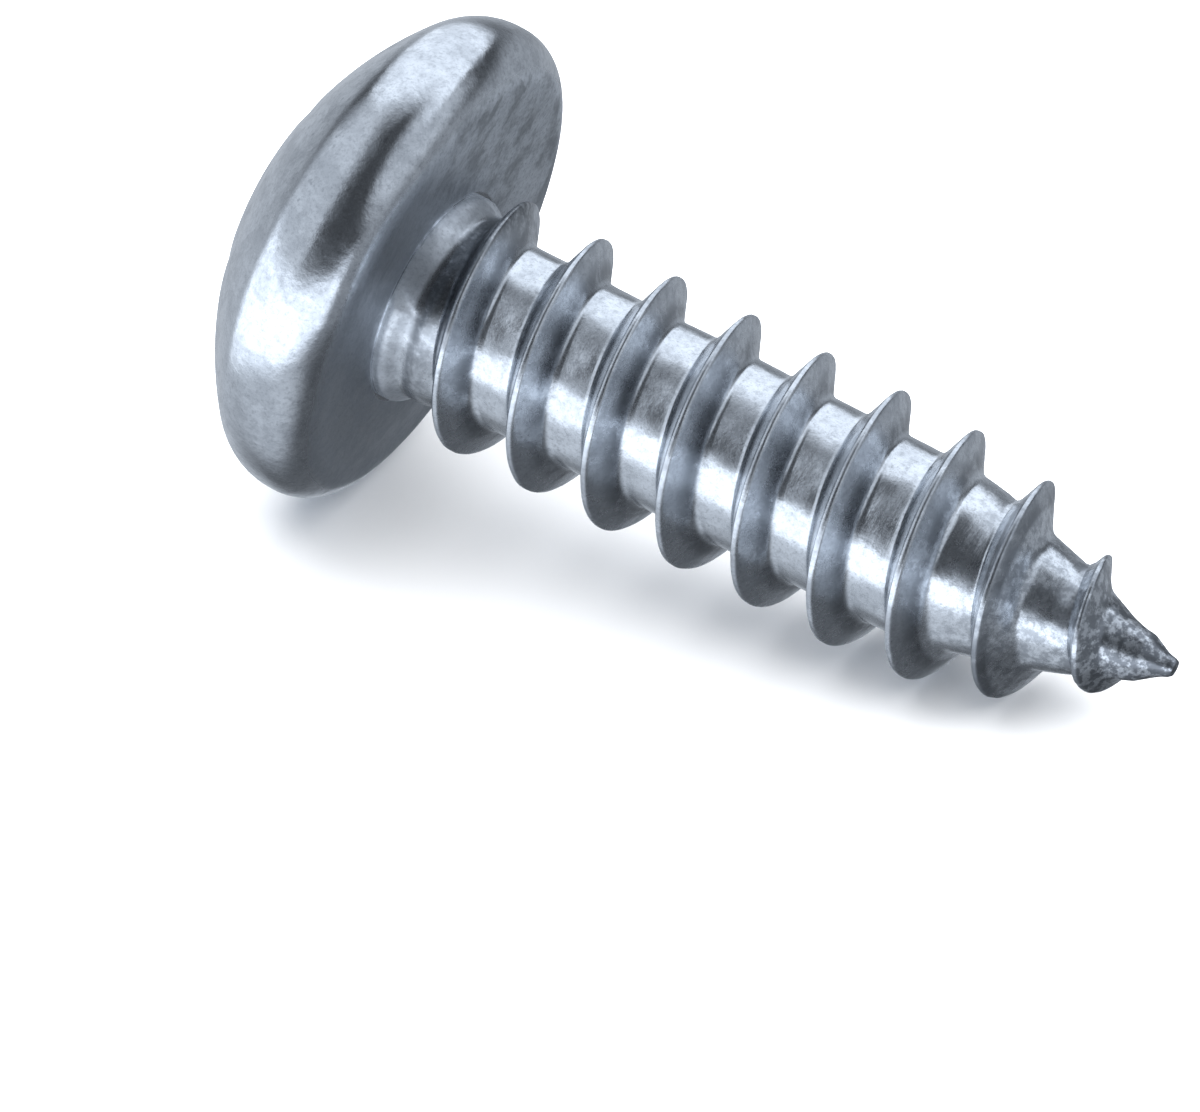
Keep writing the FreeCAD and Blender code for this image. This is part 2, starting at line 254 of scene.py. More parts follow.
# %% Core
LENGTH = 12.5
BEAD_HEIGHT, NECK_RADIUS, NECK_END = 0.3, 1.46, 1.05
CORE_PROFILE = (
    (8.5, CORE_RADIUS), (9.1, 1.24), (10.2, 0.955), (10.7, 0.825), (11.2, 0.64), (11.6, 0.47),
    (12.0, 0.37), (12.2, 0.25), (12.32, 0.18), (12.5, 0.13),
)


def share(value, start, end):
    """How far a value has come from a start to an end, from 0 to 1."""
    return min(1, max(0, (value - start) / (end - start)))


def smooth_step(t):
    """Eases a share in and out."""
    t = min(1, max(0, t))
    return t * t * (3 - 2 * t)


def along_profile(profile, z):
    """The value at a height on a line of (height, value) places, level before and after it."""
    for (low, before), (high, after) in zip(profile, profile[1:]):
        if z <= high:
            return before + (after - before) * share(z, low, high)
    return profile[-1][1]


def core_radius(z):
    """Bead, neck, straight core, taper and blunt end."""
    if z > NECK_END:
        return along_profile(CORE_PROFILE, z)
    neck = NECK_RADIUS + (CORE_RADIUS - NECK_RADIUS) * smooth_step(share(z, 2 * BEAD_HEIGHT, NECK_END))
    past_bead = smooth_step(share(z, BEAD_HEIGHT / 3, 4 * BEAD_HEIGHT / 3))
    return neck + (BEAD_RADIUS - NECK_RADIUS) * (1 - past_bead)


print("core radius up the screw:", [(z, round(core_radius(z), 2)) for z in (0.1, 5, 12)])

# %% [markdown]
# ## From a rod to a gimlet point
# The wound rod is the same all the way. A real screw's ridge grows out of the neck in under half a turn,
# follows the narrowing point, and sinks away before the tip. Each corner of the rod is moved in or out
# until it stands on the larger of two surfaces, the core and the ridge at that place on the helix. A soft
# maximum rounds the line where they meet, as rolling does, and a little noise keeps the surface from being
# too true.

# %% Shape the shank
ROOT_SOFTNESS, CREST_SOFTNESS = 0.14, 0.05
RUN_IN_START, RUN_IN_END = 0.05, 0.55
RUN_OUT_START, RUN_OUT_END = 11.65, 12.15
CREST_PROFILE = (
    (8.0, CREST_RADIUS), (8.9, 1.8), (9.55, 1.68), (10.2, 1.49), (10.85, 1.1), (11.55, 0.74), (12.1, 0.41),
)
# Depth and closeness of each wave, and the heights over which they grow from the face
WAVES, WAVES_GROW = ((0.012, 1.3), (0.006, 3.7)), (0.1, 0.5)


def soft_max(a, b, softness):
    """The larger of two radii, rounded where they meet."""
    overlap = max(softness - abs(a - b), 0) / softness
    return max(a, b) + overlap * overlap * softness / 4


def shaped_radius(turn, z):
    """The finished surface at a share of a turn round the axis and a height."""
    height = THREAD_START + PITCH * (turn + round((z - THREAD_START) / PITCH - turn))
    sunk = 1 - share(height, RUN_IN_START, RUN_IN_END) + share(height, RUN_OUT_START, RUN_OUT_END)
    crest = along_profile(CREST_PROFILE, height)
    flank = crest + (HALF_CREST - abs(z - height)) / FLANK
    ridge = -soft_max(-flank, -crest, CREST_SOFTNESS) - (TOOTH + ROOT_SOFTNESS) * sunk
    return soft_max(core_radius(z), ridge, ROOT_SOFTNESS)


for corner in shank.data.vertices:
    turn = math.atan2(corner.co.y, corner.co.x) / (2 * math.pi)
    z = min(max(corner.co.z, 0), LENGTH)
    wave = sum(depth * noise.noise(corner.co * closeness) for depth, closeness in WAVES)
    radius = shaped_radius(turn, z) + wave * share(z, *WAVES_GROW) * share(LENGTH, z, z + 1)
    scale = radius / math.hypot(corner.co.x, corner.co.y)
    corner.co.x *= scale
    corner.co.y *= scale
print("shaped down to", round(min(math.hypot(v.co.x, v.co.y) for v in shank.data.vertices), 3), "mm")

# %% [markdown]
# ## Cut the ends square
# The wound rod starts and ends on a helix, which nothing can be joined to. A plane bisects it at both
# ends and throws the outside away: one cut is inside the fillet under the head, the other just before the
# tip. Cutting whole rings by hand would work too, but no ring of this mesh is level.

# %% Cut
TIP_CUT = 12.42
BRIDGE_GAP = 0.02
ON_PLANE = 1e-5


def cut(piece, height, **side):
    """Bisects a piece with a level plane and clears one side of it."""
    let_go()
    piece.select_set(True)
    bpy.context.view_layer.objects.active = piece
    bpy.ops.object.mode_set(mode="EDIT")
    bpy.ops.mesh.select_all(action="SELECT")
    bpy.ops.mesh.bisect(plane_co=(0, 0, height), plane_no=(0, 0, 1), threshold=ON_PLANE, **side)
    bpy.ops.object.mode_set(mode="OBJECT")


cut(shank, JOIN_HEIGHT + BRIDGE_GAP, clear_inner=True)
cut(shank, TIP_CUT, clear_outer=True)
print("shank between", [round(pick(v.co.z for v in shank.data.vertices), 2) for pick in (min, max)])

# %% [markdown]
# ## Join head and shank and close the tip
# The screw is one piece of wire, so its mesh is one closed skin. The two open rings under the head face
# each other, and a bridge of faces closes the gap. At the other end the open ring is drawn in twice and
# then merged to a point, which gives the tip its blunt, rounded end.

# %% Join and close
NEAR_FACE, NEAR_TIP = 0.5, 11
TIP_RINGS = ((0.05, 0.8), (0.025, 0.6))


def select_edges(piece, wanted):
    """Selects the open edges whose both ends pass a test, and goes into edit mode."""
    bpy.ops.object.mode_set(mode="EDIT")
    bpy.ops.mesh.select_mode(type="EDGE")
    bpy.ops.mesh.select_all(action="DESELECT")
    bpy.ops.mesh.select_non_manifold(extend=False)
    bpy.ops.object.mode_set(mode="OBJECT")
    corners = piece.data.vertices
    for edge in piece.data.edges:
        edge.select = edge.select and all(wanted(corners[i].co) for i in edge.vertices)
    bpy.ops.object.mode_set(mode="EDIT")


let_go()
head.select_set(True)
shank.select_set(True)
bpy.context.view_layer.objects.active = head
bpy.ops.object.join()
screw = head
screw.name = "bright_screw"
select_edges(screw, lambda c: abs(c.z) < NEAR_FACE)
bpy.ops.mesh.bridge_edge_loops()
bpy.ops.object.mode_set(mode="OBJECT")
select_edges(screw, lambda c: c.z > NEAR_TIP)
for height, narrower in TIP_RINGS:
    bpy.ops.mesh.extrude_region_move(TRANSFORM_OT_translate={"value": (0, 0, height)})
    bpy.ops.transform.resize(value=(narrower, narrower, 1), center_override=(0, 0, 0))
bpy.ops.mesh.merge(type="CENTER")
bpy.ops.mesh.select_all(action="SELECT")
bpy.ops.mesh.remove_doubles(threshold=SAME_PLACE)
bpy.ops.mesh.normals_make_consistent(inside=False)
bpy.ops.mesh.select_all(action="DESELECT")
bpy.ops.mesh.select_non_manifold()
bpy.ops.object.mode_set(mode="OBJECT")
print("open edges left:", sum(e.select for e in screw.data.edges), "of", len(screw.data.edges))

# %% [markdown]
# ## The punch: a cross from one square
# The recess is pressed into the cold head by a punch with four wings. The cutter is that punch. It begins
# as a flat square as wide as a wing, and each side of the square is extruded outwards, which makes a
# cross of five faces that share their edges. Then the four inner corners are beveled, because the real
# punch is rounded there.

# %% Draw the cross
MOUTH_SPAN, MOUTH_WIDTH, MOUTH_CORNER, CORNER_PIECES = 5.05, 1.1, 0.8, 8
FLOOR_SPAN, FLOOR_WIDTH = 2.6, 0.86
WING_DEPTH, RECESS_DEPTH, OVERSHOOT = 2.05, 2.65, 0.3

let_go()
slope = (MOUTH_SPAN - FLOOR_SPAN) / 2 / WING_DEPTH
wide = MOUTH_WIDTH / 2
reach = MOUTH_SPAN / 2 + slope * OVERSHOOT - wide
bpy.ops.mesh.primitive_plane_add(size=2 * wide, location=(0, 0, -HEAD_HEIGHT - OVERSHOOT))
punch = bpy.context.object
punch.name = "punch"
bpy.ops.object.transform_apply(location=True)
bpy.ops.object.mode_set(mode="EDIT")
bpy.ops.mesh.select_mode(type="EDGE")
for way in ((1, 0, 0), (0, 1, 0), (-1, 0, 0), (0, -1, 0)):
    bpy.ops.mesh.select_all(action="DESELECT")
    bpy.ops.object.mode_set(mode="OBJECT")
    for edge in punch.data.edges:
        middle = sum((punch.data.vertices[i].co for i in edge.vertices), Vector()) / 2
        on_side = abs(middle.dot(Vector(way)) - wide) < SAME_PLACE
        edge.select = on_side and middle.xy.length < wide + SAME_PLACE
    bpy.ops.object.mode_set(mode="EDIT")
    bpy.ops.mesh.extrude_region_move(TRANSFORM_OT_translate={"value": Vector(way) * reach})

bpy.ops.mesh.select_mode(type="VERT")
bpy.ops.mesh.select_all(action="DESELECT")
bpy.ops.object.mode_set(mode="OBJECT")
for corner in punch.data.vertices:
    corner.select = all(abs(abs(corner.co[axis]) - wide) < SAME_PLACE for axis in (0, 1))
bpy.ops.object.mode_set(mode="EDIT")
bpy.ops.mesh.bevel(offset=MOUTH_CORNER, segments=CORNER_PIECES, affect="VERTICES")
bpy.ops.object.mode_set(mode="OBJECT")
print("cross:", len(punch.data.vertices), "corners, wings reach", round(wide + reach, 3), "mm")

# %% [markdown]
# ## The punch: give it depth
# The wings lean inwards, so that the driver wedges in them, and below them the punch ends in a blunt
# point. The cross is extruded down to the wings' floor and scaled to the floor's span, then extruded again
# and merged to a point. Scaling makes the wings too narrow at the floor, so their sides are set back to
# the real width.

# %% Extrude the punch
RECESS_ANGLE = math.radians(30)
ALMOST_FLAT, AT_FLOOR = 0.001, 0.001
wings_floor = WING_DEPTH - HEAD_HEIGHT
top_span = MOUTH_SPAN + 2 * slope * OVERSHOOT
narrower = FLOOR_SPAN / top_span

bpy.ops.object.mode_set(mode="EDIT")
bpy.ops.mesh.select_all(action="SELECT")
bpy.ops.mesh.dissolve_limited(angle_limit=ALMOST_FLAT)
bpy.ops.mesh.extrude_region_move(TRANSFORM_OT_translate={"value": (0, 0, OVERSHOOT + WING_DEPTH)})
bpy.ops.transform.resize(value=(narrower, narrower, 1), center_override=(0, 0, 0))
bpy.ops.mesh.extrude_region_move(TRANSFORM_OT_translate={"value": (0, 0, RECESS_DEPTH - WING_DEPTH)})
bpy.ops.mesh.merge(type="CENTER")
bpy.ops.mesh.select_all(action="SELECT")
bpy.ops.mesh.normals_make_consistent(inside=False)
bpy.ops.object.mode_set(mode="OBJECT")
low_ring = [v for v in punch.data.vertices if abs(v.co.z - wings_floor) < AT_FLOOR]
for corner in low_ring:
    for axis in (0, 1):
        if abs(corner.co[axis]) < wide:
            corner.co[axis] *= FLOOR_WIDTH / MOUTH_WIDTH * top_span / FLOOR_SPAN
punch.data.transform(Matrix.Rotation(RECESS_ANGLE, 4, "Z"))
print("punch:", len(punch.data.vertices), "corners", len(low_ring), "round its floor")

# %% [markdown]
# ## Press the recess
# A Boolean takes the punch's shape out of the head, as the press does. Its exact solver keeps the edges
# clean where the punch runs out through the curved crown. The punch itself is then thrown away.

# %% Cut the recess
let_go()
screw.select_set(True)
bpy.context.view_layer.objects.active = screw
recess = screw.modifiers.new("recess", "BOOLEAN")
recess.operation = "DIFFERENCE"
recess.solver = "EXACT"
recess.object = punch
bpy.ops.object.modifier_apply(modifier="recess")
bpy.data.objects.remove(punch)
print("with recess:", len(screw.data.vertices), "corners")

# %% [markdown]
# ## Remember where each corner belongs
# Wear, dirt and painted light and shade sit in certain places: at the feet of the flanks, at the tip, on
# the face. Those places are easy to name while the screw stands upright, and hard once it lies askew. So
# each corner keeps its upright place as an attribute, and a second one says whether it is in the recess.
# The material reads both.

# %% Keep the upright places
RECESS_SHARE, BELOW_SHOULDER, UNDER_CROWN = 0.65, -0.1, 0.02


def crown_height(out):
    """The height of the crown's surface at a distance from the axis."""
    return crown_z - math.sqrt(crown_radius**2 - out**2)


def in_punch(place):
    """Whether a place is inside the head, where only the recess has corners."""
    out = math.hypot(place.x, place.y)
    if out >= RECESS_SHARE * HEAD_RADIUS or place.z >= BELOW_SHOULDER:
        return False
    return place.z > crown_height(out) + UNDER_CROWN


screw.data.attributes.new("upright", "FLOAT_VECTOR", "POINT")
screw.data.attributes.new("pressed", "FLOAT", "POINT")
upright, pressed = (screw.data.attributes[name].data for name in ("upright", "pressed"))
for index, corner in enumerate(screw.data.vertices):
    upright[index].vector = corner.co
    pressed[index].value = float(in_punch(corner.co))
print("corners in the recess:", sum(p.value > 0 for p in pressed))

# %% [markdown]
# ## Lay it down, a little crooked
# The finished mesh is turned into its resting place and brought to metres in one step, so its object stays
# at the origin. A forged and rolled screw is never quite straight. In the photograph the head sits a little
# off the axis and tilts by a degree and a half, the shank droops a little at the neck, and the end of the
# point is bent up. Each corner is moved by where it is along the screw, and none as far as half a
# millimetre.

# %% Lay down
HEAD_TILT = math.radians(1.41)
HEAD_SHIFT = Vector((-0.058, 0.135, 0.006)) * MM
SHANK_RISE, SHANK_NEARER = math.radians(1.57), math.radians(1.29)
NECK_DROOP = 0.153 * MM
BENT_TIP = ((11.8, 0), (12.2, 0.05), (12.5, 0.09))
FACE_SKIN = 0.02

beside = math.sin(DOWN_IN_PICTURE) * right + math.cos(DOWN_IN_PICTURE) * up
head_turn = Matrix.Rotation(HEAD_TILT, 3, beside)
shank_turn = Matrix.Rotation(SHANK_RISE, 3, back) @ Matrix.Rotation(-SHANK_NEARER, 3, beside)


def crooked(place):
    """Where a corner of the straight screw is on the crooked one."""
    arm = place - FACE_CENTRE
    along = arm.dot(point_way) / MM
    out = (arm - arm.dot(point_way) * point_way).length / MM
    as_head = smooth_step((out - BEAD_RADIUS) / (face_outer - BEAD_RADIUS)) if along > -FACE_SKIN else 1
    as_head *= smooth_step(1 - along / FACE_SKIN)
    on_head = head_turn @ arm + HEAD_SHIFT
    bend = along_profile(BENT_TIP, along) * MM
    on_shank = shank_turn @ arm + (bend - NECK_DROOP) * beside
    return FACE_CENTRE + on_shank.lerp(on_head, as_head)


screw.data.transform(lying)
for corner in screw.data.vertices:
    corner.co = crooked(corner.co)
print("laid down, lowest corner, mm:", round(min(v.co.z for v in screw.data.vertices) / MM, 3))

# %% [markdown]
# ## Let it settle
# A crooked screw lies a little differently from a straight one: it tips until its head and its thread both
# touch the floor. The turn is under a degree. It is found by joining the lowest corner of the head to the
# lowest one of the shank and laying that line level. This is done three times, in case a turn makes
# another corner the lowest. The camera makes the same turns, so the picture stays as it was found.

# %% Settle
ROUNDS = 3
kept_places = [corner.vector.copy() for corner in screw.data.attributes["upright"].data]


def lowest(wanted):
    """The height and the place along X of the lowest corner in one part of the screw."""
    chosen = (v.co for v, home in zip(screw.data.vertices, kept_places) if wanted(home.z))
    return min((co.z, co.x) for co in chosen)


for _ in range(ROUNDS):
    head_low, shank_low = lowest(lambda z: z < 0), lowest(lambda z: z > NECK_END)
    tip_over = math.atan2(shank_low[0] - head_low[0], shank_low[1] - head_low[1])
    settle = Matrix.Translation((0, 0, -head_low[0])) @ Matrix.Rotation(tip_over, 4, "Y")
    screw.data.transform(settle)
    camera.location = settle @ camera.location
    camera.rotation_quaternion = settle.to_quaternion() @ camera.rotation_quaternion
    print("settled by", round(math.degrees(tip_over), 3), "degrees")

# %% [markdown]
# ## Smooth it and hand it to the frame
# Rolled metal is smooth, but the rim of the recess is a real edge. Shading by angle keeps both: neighbours
# that meet flatter than the angle are shaded as one surface. The frame is then told that this piece rides
# on the screw's body, and the frame's own screw is hidden.

# %% Smooth and hand over
SHARP_FROM = math.radians(35)

let_go()
screw.select_set(True)
bpy.context.view_layer.objects.active = screw
bpy.ops.object.shade_smooth_by_angle(angle=SHARP_FROM, keep_sharp_edges=True)
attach(screw, "root")
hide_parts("screw")
print("lowest corner, mm:", round(min(v.co.z for v in screw.data.vertices) / MM, 3))

# %% [markdown]
# ## Helpers for wiring
# A material is a net of small nodes. Adding each by hand takes a line for the node and a line for every
# wire, so a few helpers do it. One sets or links a node's inputs. The others make the nodes that come
# again and again: a sum, a soft step between two values, a noise, a direction, and a blend of colours.

# %% Wiring helpers
def wired(tree, kind, **inputs):
    """A new node with its inputs set: an output is linked, anything else is a value."""
    node = tree.nodes.new(kind)
    for name, value in inputs.items():
        socket = node.inputs[int(name[1:])] if name[1:].isdigit() else node.inputs[name]
        if isinstance(value, bpy.types.NodeSocket):
            tree.links.new(value, socket)
        else:
            socket.default_value = value
    return node


def maths(tree, operation, *values):
    """One sum: its operation and up to three values or outputs."""
    node = wired(tree, "ShaderNodeMath", **{f"i{i}": value for i, value in enumerate(values)})
    node.operation = operation
    return node.outputs["Value"]


def between(tree, value, low, high, at_low=0.0, at_high=1.0):
    """Maps a value from low..high to at_low..at_high, with soft ends."""
    node = wired(tree, "ShaderNodeMapRange", Value=value)
    node.interpolation_type = "SMOOTHSTEP"
    for name, number in (("From Min", low), ("From Max", high), ("To Min", at_low), ("To Max", at_high)):
        node.inputs[name].default_value = number
    return node.outputs["Result"]


def grain(tree, place, per_mm, detail=3.0, roughness=0.55, distortion=0.0):
    """A noise with so many spots to the millimetre."""
    node = wired(tree, "ShaderNodeTexNoise", Vector=place, Scale=per_mm, Detail=detail)
    node.inputs["Roughness"].default_value = roughness
    node.inputs["Distortion"].default_value = distortion
    return node.outputs["Fac"]


def facing(tree, place, way):
    """How far a place lies in a direction."""
    node = wired(tree, "ShaderNodeVectorMath", i0=place, i1=way)
    node.operation = "DOT_PRODUCT"
    return node.outputs["Value"]


def blended(tree, amount, first, second):
    """A colour between two, each a colour value or another node's colour."""
    node = wired(tree, "ShaderNodeMix", i0=amount)
    node.data_type = "RGBA"
    for index, value in ((6, first), (7, second)):
        if isinstance(value, bpy.types.NodeSocket):
            tree.links.new(value, node.inputs[index])
        else:
            node.inputs[index].default_value = (*value, 1)
    return node.outputs[2]


# %% [markdown]
# ## Bright zinc, and the places on the screw
# Zinc plating is metal all over: its colour is a pale, cool grey, and what the eye reads as light and dark
# is mostly the room mirrored in it. So the material is a plain metal with small changes of colour,
# roughness and relief. Each change needs a mask that is one in its place and fades to nothing round it.
# The masks come from the upright places: the height along the screw, and the distance from its axis.

# %% Masks
zinc = bpy.data.materials.new("bright_zinc")
zinc.use_nodes = True
tree = zinc.node_tree
shader = tree.nodes["Principled BSDF"]
shader.inputs["Metallic"].default_value = 1

# In mm up the screw: where a mask fades in, is full, is still full, and has faded out
FACE_HEIGHTS = (-0.1, -0.02, 0.02, 0.06)
BEAD_HEIGHTS = (0.001, 0.01, 0.3, 0.38)
NECK_HEIGHTS = (0.001, 0.01, 0.85, 1.15)
SHANK_HEIGHTS = (0.3, 0.5)
POINT_HEIGHTS, TIP_HEIGHTS = (8.4, 10.4), (10.8, 11.6)
# In mm from the axis
FACE_REACH, ROOT_REACH = (1.66, 1.72), (1.36, 1.31)
FOOT_REACH, FLANK_REACH = (1.345, 1.4, 1.45, 1.7), (1.36, 1.5)


def kept(name, output):
    """An attribute of the mesh, as a node's output."""
    node = tree.nodes.new("ShaderNodeAttribute")
    node.attribute_name = name
    return node.outputs[output]


def both(first, second):
    """Two masks or values, multiplied."""
    return maths(tree, "MULTIPLY", first, second)


def band(value, fade_in, full_in, full_out, fade_out):
    """A mask that is full between two values and fades outside them."""
    return both(between(tree, value, fade_in, full_in), between(tree, value, fade_out, full_out))


place = kept("upright", "Vector")
split = wired(tree, "ShaderNodeSeparateXYZ", Vector=place)
x, y, z = (split.outputs[axis] for axis in "XYZ")
from_axis = maths(tree, "SQRT", maths(tree, "ADD", both(x, x), both(y, y)))
on_face = both(band(z, *FACE_HEIGHTS), between(tree, from_axis, *FACE_REACH))
on_bead = band(z, *BEAD_HEIGHTS)
on_neck = band(z, *NECK_HEIGHTS)
on_shank = between(tree, z, *SHANK_HEIGHTS)
on_root = both(on_shank, between(tree, from_axis, *ROOT_REACH))
at_foot = both(on_shank, band(from_axis, *FOOT_REACH))
on_flank = both(on_shank, between(tree, from_axis, *FLANK_REACH))
near_point = between(tree, z, *POINT_HEIGHTS)
at_tip = between(tree, z, *TIP_HEIGHTS)
in_recess = kept("pressed", "Fac")
print("nodes for the masks:", len(tree.nodes))

# %% [markdown]
# ## Marks of rolling and of plating
# The dies drag fine streaks round the shank, tumbling leaves shallow dents, and plating leaves pits, dull
# patches and specks. All of these are noises of different size. For the streaks the noise is read on a
# stretched place, where a step along the screw counts far more than a step round it, so its spots become
# long lines.

# %% Marks
STREAK_STRETCH = 9.0
SPECK_EDGE = (0.66, 0.74)
round_way = wired(
    tree,
    "ShaderNodeCombineXYZ",
    X=maths(tree, "DIVIDE", x, from_axis),
    Y=maths(tree, "DIVIDE", y, from_axis),
    Z=both(z, STREAK_STRETCH),
)
streaks = grain(tree, round_way.outputs["Vector"], per_mm=1.6, detail=4, roughness=0.6)
dents = grain(tree, place, per_mm=1.3, detail=2)
pits = grain(tree, place, per_mm=9.0, detail=3, roughness=0.6)
fine = grain(tree, place, per_mm=17.0, detail=3, roughness=0.7)
patches = grain(tree, place, per_mm=1.7, detail=7, roughness=0.66, distortion=0.4)
mottle = grain(tree, place, per_mm=6.5, detail=5, roughness=0.7)
specks = between(tree, grain(tree, place, per_mm=7.0, detail=2), *SPECK_EDGE)
print("nodes with the marks:", len(tree.nodes))

# %% [markdown]
# ## Where the zinc is dull or dirty, and where light and shade are painted
# The face under the head is dull, painted lighter in patches on one side and painted dark as shade
# elsewhere. The roots are painted lighter as a highlight; the feet of the flanks and a pocket beside the
# neck are painted dark as shade, and the point and the tip are stained darker. Each mark is a mask times a
# noise, so that none has a drawn outline.

# %% Amounts
LIT_SIDE_WAY = (-0.25, -0.97, 0)
POCKET_SIDE = (0.71, -0.71, 0)
LIT_SIDE_REACH, POCKET_REACH = (0.0, 2.4), (0.7, 1.3)
POCKET_HEIGHTS = (0.3, 0.45, 0.85, 1.1)
# From one value of a noise to another, and the amounts at both
DULL_PATCHES, RUBBED_PATCHES = (0.38, 0.64), (0.33, 0.6)
FOOT_PATCHES = (0.35, 0.6, 0.15, 0.75)
STAIN_PATCHES = (0.4, 0.62, 0.15, 0.7)
POCKET_SHADE_PATCHES = (0.36, 0.58, 0.45, 0.95)
DIRT_PATCHES = (0.42, 0.56, 0.1, 0.85)
MOTTLED, GRAINED = (0.42, 0.7, 0.0, 0.38), (0.45, 0.75, 0.0, 0.5)
FACE_DULL_AND_SHADE, ROOT_BRIGHTNESS, RECESS_SHADE, SPECK_STRENGTH = 0.62, 0.6, 0.5, 0.35

dull = between(tree, patches, *DULL_PATCHES)
# Painted light: one side of the face under the head is painted lighter, more so towards its rim
lit_side = between(tree, facing(tree, place, LIT_SIDE_WAY), *LIT_SIDE_REACH)
lit_and_rubbed = both(lit_side, between(tree, patches, *RUBBED_PATCHES))
face_painted_light = both(on_face, lit_side)
# Dull plating and painted shade: the face is painted dark except in patches on its lit side
face_dull_and_painted_shade = both(on_face, between(tree, lit_and_rubbed, 0, 1, FACE_DULL_AND_SHADE, 0.0))
# Painted highlight: the roots are painted lighter, so that what they mirror is brighter
root_painted_highlight = both(on_root, ROOT_BRIGHTNESS)
# Painted shade: the feet of the flanks, where each flank meets the root, are painted dark in patches
foot_painted_shade = both(at_foot, between(tree, patches, *FOOT_PATCHES))
point_stain = both(near_point, between(tree, mottle, *STAIN_PATCHES))
# Painted shade: a pocket on one side of the neck, between the bead and the first ridge, is painted nearly
# black in mottled patches
in_pocket = between(tree, facing(tree, place, POCKET_SIDE), *POCKET_REACH)
pocket = both(band(z, *POCKET_HEIGHTS), in_pocket)
# Painted shade: the recess is painted darker
recess_painted_shade = both(in_recess, RECESS_SHADE)
pocket_painted_shade = both(pocket, between(tree, mottle, *POCKET_SHADE_PATCHES))
tip_dirt = both(at_tip, between(tree, mottle, *DIRT_PATCHES))
mottled = between(tree, mottle, *MOTTLED)
grained = between(tree, fine, *GRAINED)
speckled = both(specks, SPECK_STRENGTH)
print("nodes with the amounts:", len(tree.nodes))

# %% [markdown]
# ## Colour of the zinc
# The colour starts as a blend of bright and dull plating. Then each coat is laid over the one before, as a
# painter glazes: an amount and a shade. The order matters, because a later coat covers an earlier one, so
# the fine grain and the specks come last.

# %% Colour
BRIGHT_PLATING, DULL_PLATING = (0.745, 0.78, 0.825), (0.56, 0.59, 0.63)
# Some coats are painted light and shade: on the face, in the roots, at the feet of the flanks, in the
# recess and beside the neck.
COATS = (
    # Painted light and painted shade on the face under the head
    (face_painted_light, (0.86, 0.9, 0.95)),
    (face_dull_and_painted_shade, (0.29, 0.31, 0.34)),
    # Painted highlight in the roots, then painted shade at the feet of the flanks
    (root_painted_highlight, (0.9, 0.94, 0.99)),
    (foot_painted_shade, (0.17, 0.182, 0.2)),
    (point_stain, (0.26, 0.28, 0.31)),
    # Painted shade in the recess, then in the pocket beside the neck
    (recess_painted_shade, (0.3, 0.32, 0.35)),
    (pocket_painted_shade, (0.1, 0.108, 0.12)),
    (tip_dirt, (0.13, 0.14, 0.16)),
    (mottled, (0.36, 0.38, 0.41)),
    (grained, (0.33, 0.35, 0.38)),
    (speckled, (0.25, 0.27, 0.3)),
)

colour = blended(tree, dull, BRIGHT_PLATING, DULL_PLATING)
for amount, shade in COATS:
    colour = blended(tree, amount, colour, shade)
tree.links.new(colour, shader.inputs["Base Color"])
print("coats of colour:", len(COATS))

# %% [markdown]
# ## Roughness and relief of the zinc
# Roughness decides how sharp the mirrored room is. The crown is polished, the face and the bead are matt,
# and the flanks lie between, so every place adds its own share. The relief goes in the same way: broad
# shallow dents, fine pits, and the streaks, which grow deeper towards the point. It is only bump, because
# it is no deeper than a hundredth of a millimetre.

# %% Roughness and relief
POLISHED, LESS_POLISHED = 0.14, 0.21
MOTTLED_ROUGHNESS = (0.4, 0.7, -0.02, 0.05)
DENT_DEPTH, PIT_DEPTH, GRAIN_DEPTH = 0.012, 0.0018, 0.0014
# From one height to another, and the depth of the streaks at both
STREAK_DEPTH = (6.0, 10.0, 0.0006, 0.004)
ROUGHER = (
    (on_face, 0.32),
    (in_recess, 0.22),
    (on_bead, 0.22),
    (on_neck, 0.05),
    (on_shank, 0.06),
    (on_flank, 0.05),
    (near_point, 0.04),
    (at_tip, 0.06),
)
roughness = between(tree, dull, 0, 1, POLISHED, LESS_POLISHED)
for mask, more in ROUGHER:
    roughness = maths(tree, "ADD", roughness, both(mask, more))
roughness = maths(tree, "ADD", roughness, between(tree, mottle, *MOTTLED_ROUGHNESS))
tree.links.new(roughness, shader.inputs["Roughness"])

streak_depth = both(on_shank, between(tree, z, *STREAK_DEPTH))
relief = both(dents, DENT_DEPTH)
for mark, depth in ((pits, PIT_DEPTH), (fine, GRAIN_DEPTH), (streaks, streak_depth)):
    relief = maths(tree, "ADD", relief, both(mark, depth))
bump = wired(tree, "ShaderNodeBump", Height=relief, Distance=MM)
tree.links.new(bump.outputs["Normal"], shader.inputs["Normal"])
screw.data.materials.clear()
screw.data.materials.append(zinc)
print("nodes in all:", len(tree.nodes))

# %% [markdown]
# ## A pale floor
# The screw lies on a plain, pale floor, which catches a soft shadow and shows that it touches the ground.
# The floor is wide enough to fill the picture, and matt, so nothing is mirrored in it. The metal in the
# photograph mirrors no ground, so the floor is hidden from glossy rays.

# %% Floor
FLOOR_SIZE, FLOOR_COLOUR, FLOOR_ROUGHNESS = 1.2, (0.9, 0.9, 0.9, 1), 0.9

